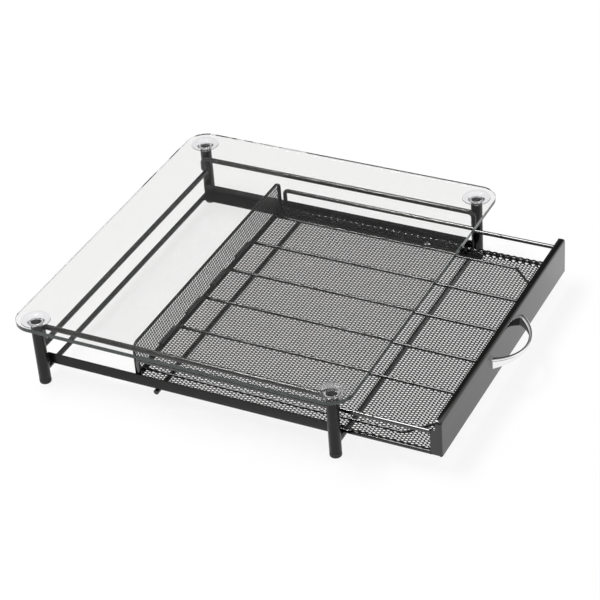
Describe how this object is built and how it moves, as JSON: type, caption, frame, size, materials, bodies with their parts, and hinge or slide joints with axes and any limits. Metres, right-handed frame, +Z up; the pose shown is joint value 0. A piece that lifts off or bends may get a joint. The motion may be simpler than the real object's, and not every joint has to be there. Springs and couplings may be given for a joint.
{
  "type": "coffee capsule holder",
  "caption": "Low glass shelf on four metal posts, with a sliding wire and mesh drawer under it that holds rows of coffee capsules and pulls out by a bow handle.",
  "frame": {"origin": "on the floor, under the middle of the whole part's box with the drawer partly open as at rest", "axes": "+X to the right as seen from the front, +Y to the back, +Z up; the drawer pulls out along -Y"},
  "size_m": [0.356, 0.423, 0.0707],
  "materials": {
    "black_coat": "satin black powder coat on steel",
    "panel_coat": "satin black powder coat on sheet steel",
    "mesh_coat": "satin black powder coat on expanded steel",
    "foot_plastic": "matt black",
    "clear_vinyl": "clear soft vinyl",
    "shelf_glass": "clear float glass with polished edges",
    "handle_chrome": "polished chrome plate",
    "screw_steel": "zinc plated"
  },
  "bodies": {
    "stand": {"post_front_left": "black_coat", "foot_cap_front_left": "foot_plastic", "suction_cup_front_left": "clear_vinyl", "post_front_right": "black_coat", "foot_cap_front_right": "foot_plastic", "suction_cup_front_right": "clear_vinyl", "post_rear_left": "black_coat", "foot_cap_rear_left": "foot_plastic", "suction_cup_rear_left": "clear_vinyl", "post_rear_right": "black_coat", "foot_cap_rear_right": "foot_plastic", "suction_cup_rear_right": "clear_vinyl", "glass_shelf": "shelf_glass", "rear_upper_wire": "black_coat", "rear_lower_wire": "black_coat", "middle_cross_wire": "black_coat", "front_cross_strip": "black_coat", "runner_left": "black_coat", "stand_side_wire_left": "black_coat", "runner_right": "black_coat", "stand_side_wire_right": "black_coat"},
    "drawer": {"floor_mesh": "mesh_coat", "back_mesh": "mesh_coat", "back_frame": "black_coat", "rear_floor_wire": "black_coat", "front_panel": "panel_coat", "handle": "handle_chrome", "handle_screws": "screw_steel", "drawer_rail_left": "black_coat", "lower_side_wire_left": "black_coat", "floor_support_wire_left": "black_coat", "drawer_rail_right": "black_coat", "lower_side_wire_right": "black_coat", "floor_support_wire_right": "black_coat", "divider_1": "black_coat", "divider_2": "black_coat", "divider_3": "black_coat", "divider_4": "black_coat"}
  },
  "joints": [
    {"name": "drawer_slide", "type": "slide", "parent": "stand", "child": "drawer", "axis": [0, -1, 0], "range_m": [-0.0833, 0.097]}
  ]
}
